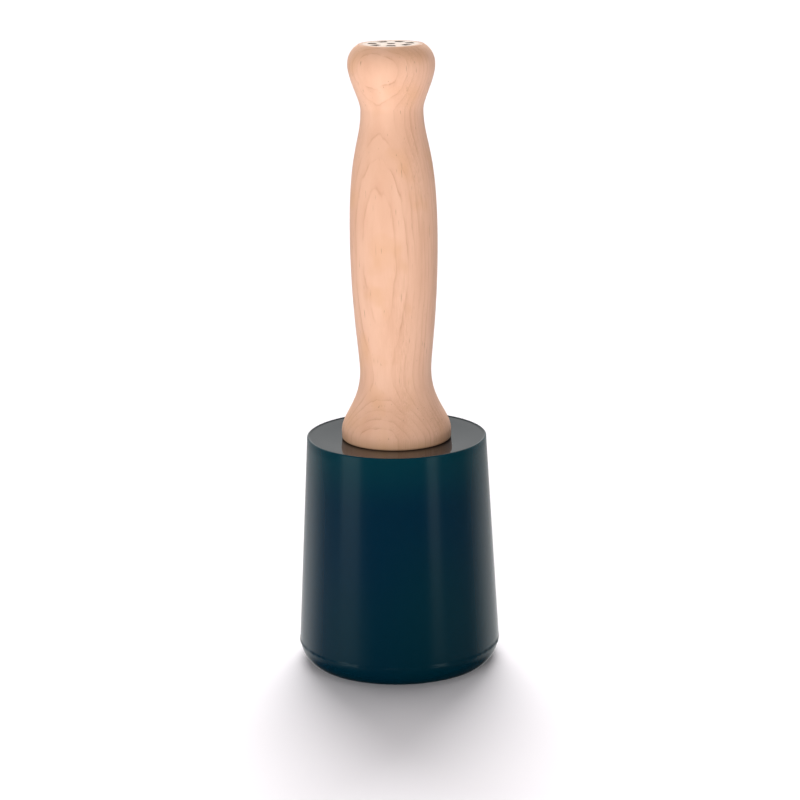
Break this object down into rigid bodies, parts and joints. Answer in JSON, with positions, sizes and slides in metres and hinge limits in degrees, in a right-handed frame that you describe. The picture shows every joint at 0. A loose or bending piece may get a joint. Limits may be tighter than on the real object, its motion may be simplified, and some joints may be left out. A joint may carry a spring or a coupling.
{
  "type": "round mallet",
  "caption": "Round mallet: a tapered cast head, standing on its flat end face, wedged on a turned wooden handle with a barrel grip and a bulb pommel.",
  "frame": {"origin": "centre of the head's flat end face, which the mallet stands on", "axes": "+Z along the common axis of the head and the handle, from the end face towards the pommel"},
  "size_m": [0.0838, 0.0838, 0.255],
  "materials": {
    "cast_head": "satin, cast, dark teal",
    "handle_wood": "satin oiled maple",
    "wedge_wood": "raw hardwood, end grain",
    "wedge_steel": "hammered mild steel"
  },
  "bodies": {
    "root": {"head": "cast_head", "handle": "handle_wood", "tenon_wedge": "wedge_wood", "steel_wedges": "wedge_steel"}
  },
  "joints": []
}
